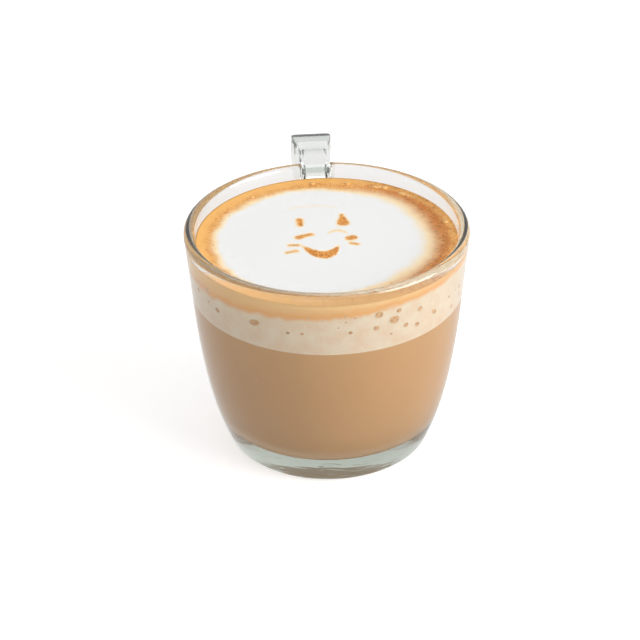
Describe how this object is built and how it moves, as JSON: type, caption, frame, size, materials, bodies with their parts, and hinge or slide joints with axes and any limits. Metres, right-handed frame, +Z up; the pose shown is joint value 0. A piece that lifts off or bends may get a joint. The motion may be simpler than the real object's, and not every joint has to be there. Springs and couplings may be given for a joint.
{
  "type": "cup of cappuccino",
  "caption": "Glass cup of cappuccino with a loop handle, coffee below and thick milk foam with browned crema on top.",
  "frame": {"origin": "centre of the cup's flat underside, on its axis", "axes": "+Z up the cup's axis, +Y towards the handle, +X across"},
  "size_m": [0.082, 0.1063, 0.0685],
  "materials": {
    "glass": "clear, faintly green pressed glass",
    "coffee": "wet milky coffee",
    "foam": "soft milk foam with browned crema"
  },
  "bodies": {
    "root": {"glass_cup": "glass", "coffee": "coffee", "milk_foam": "foam"}
  },
  "joints": []
}
